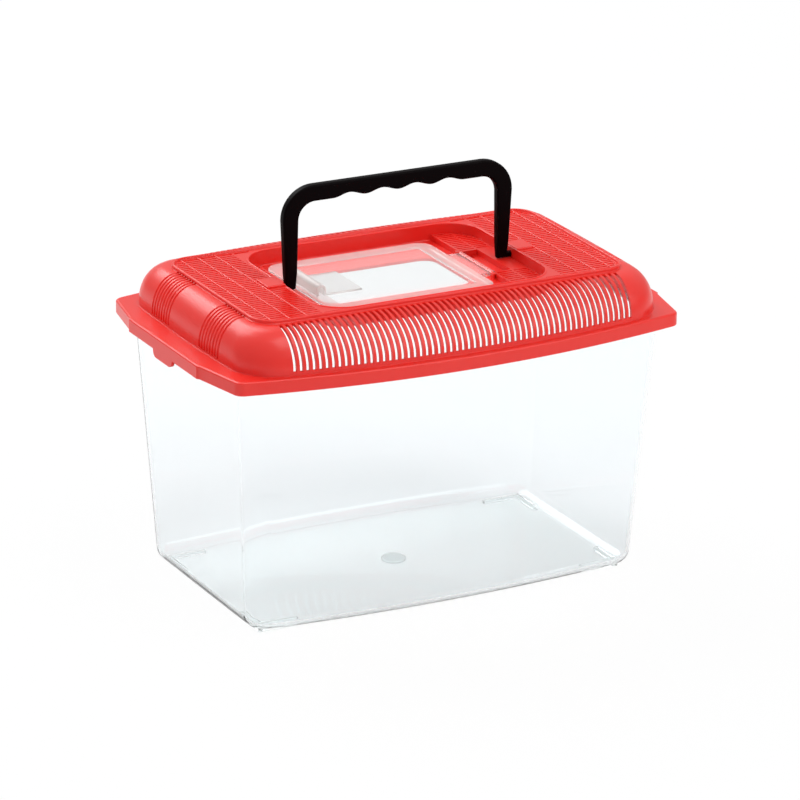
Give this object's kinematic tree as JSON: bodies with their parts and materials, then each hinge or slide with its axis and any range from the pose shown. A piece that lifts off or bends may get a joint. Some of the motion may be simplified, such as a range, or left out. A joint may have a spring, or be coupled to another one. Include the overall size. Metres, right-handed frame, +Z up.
{
  "type": "plastic pet keeper",
  "caption": "Clear drafted plastic tank with a clip-on vented dome lid, a folding carrying handle and a clear hinged hatch door in the lid's recess.",
  "frame": {"origin": "middle of the tank's footprint on the surface it stands on", "axes": "+X along the length, towards the hatch door's hinge; +Y towards the back; +Z up"},
  "size_m": [0.2854, 0.187, 0.231],
  "materials": {
    "clear_tank": "clear moulded polystyrene, high gloss",
    "red_lid": "red moulded plastic, semi-gloss",
    "black_handle": "black moulded plastic, satin",
    "clear_door": "clear moulded polystyrene, high gloss"
  },
  "bodies": {
    "tank": {"tank": "clear_tank"},
    "lid": {"lid": "red_lid"},
    "handle": {"carrying_handle": "black_handle"},
    "door": {"hatch_door": "clear_door"}
  },
  "joints": [
    {"name": "lid_lift", "type": "slide", "parent": "tank", "child": "lid", "axis": [0, 0, 1], "range_m": [0, 0.08]},
    {"name": "handle_fold", "type": "hinge", "parent": "lid", "child": "handle", "pos_m": [0, 0, 0.1738], "axis": [1, 0, 0], "range_deg": [-78, 78]},
    {"name": "hatch_open", "type": "hinge", "parent": "lid", "child": "door", "pos_m": [0.0504, 0, 0.1704], "axis": [0, 1, 0], "range_deg": [0, 24]}
  ]
}
